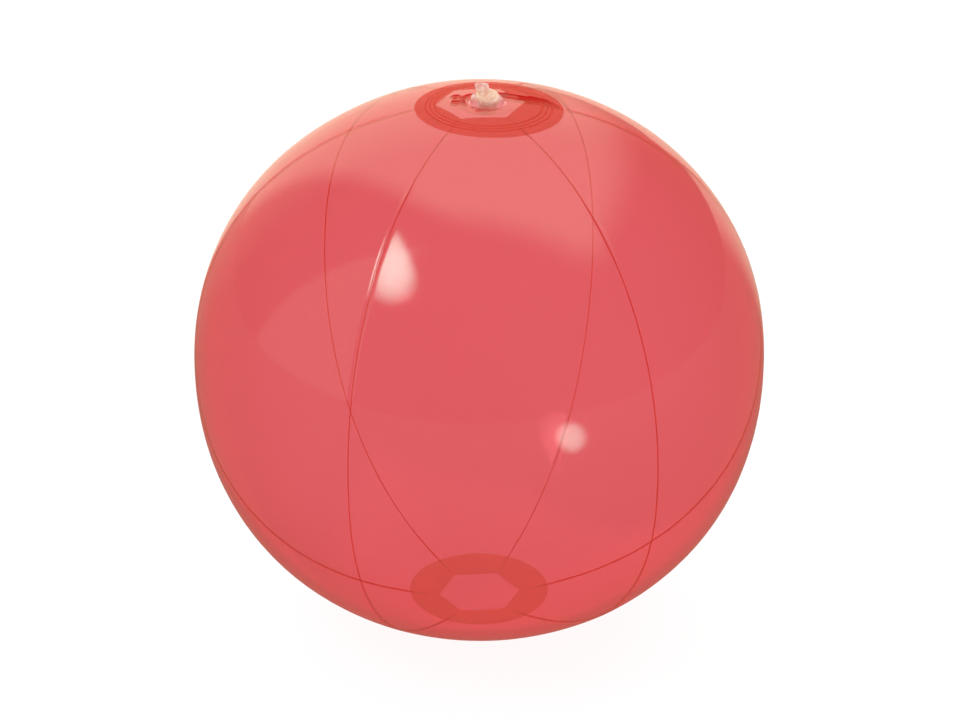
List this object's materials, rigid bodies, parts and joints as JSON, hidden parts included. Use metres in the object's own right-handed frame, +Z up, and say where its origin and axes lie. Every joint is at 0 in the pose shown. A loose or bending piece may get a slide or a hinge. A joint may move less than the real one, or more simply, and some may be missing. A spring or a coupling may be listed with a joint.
{
  "type": "inflatable beach ball",
  "caption": "Transparent red inflatable beach ball: thin film panels meeting at round polar discs, with a clear plugged push-in valve on top.",
  "frame": {"origin": "on the floor, at the middle of the flat that the inflated ball rests on, under both poles", "axes": "+Z up through both poles and along the valve; -Y out through the middle of panel_1, the front panel; the plug's strap is on the -X side"},
  "size_m": [0.2828, 0.28, 0.2798],
  "materials": {
    "tinted_film": "gloss",
    "tinted_disc_film": "gloss",
    "clear_soft_pvc": "satin"
  },
  "bodies": {
    "ball": {"panel_1": "tinted_film", "panel_2": "tinted_film", "panel_3": "tinted_film", "panel_4": "tinted_film", "panel_5": "tinted_film", "panel_6": "tinted_film", "top_disc": "tinted_disc_film", "bottom_disc": "tinted_disc_film", "valve_flange": "clear_soft_pvc", "valve_web": "clear_soft_pvc"},
    "stem": {"valve_stem": "clear_soft_pvc", "plug_strap": "clear_soft_pvc"},
    "plug": {"plug": "clear_soft_pvc"},
    "flap": {"check_flap": "clear_soft_pvc"}
  },
  "joints": [
    {"name": "valve_push", "type": "slide", "parent": "ball", "child": "stem", "axis": [0, 0, -1], "range_m": [0, 0.006], "deforming": ["valve_web"]},
    {"name": "plug_pull", "type": "slide", "parent": "stem", "child": "plug", "axis": [0, 0, 1], "range_m": [0, 0.01], "deforming": ["plug_strap"]},
    {"name": "flap_hinge", "type": "hinge", "parent": "stem", "child": "flap", "pos_m": [-0.0044, 0, 0.26666], "axis": [0, 1, 0], "range_deg": [0, 70], "stiffness_Nm_per_rad": 0.0001, "springref_deg": -17.19}
  ]
}
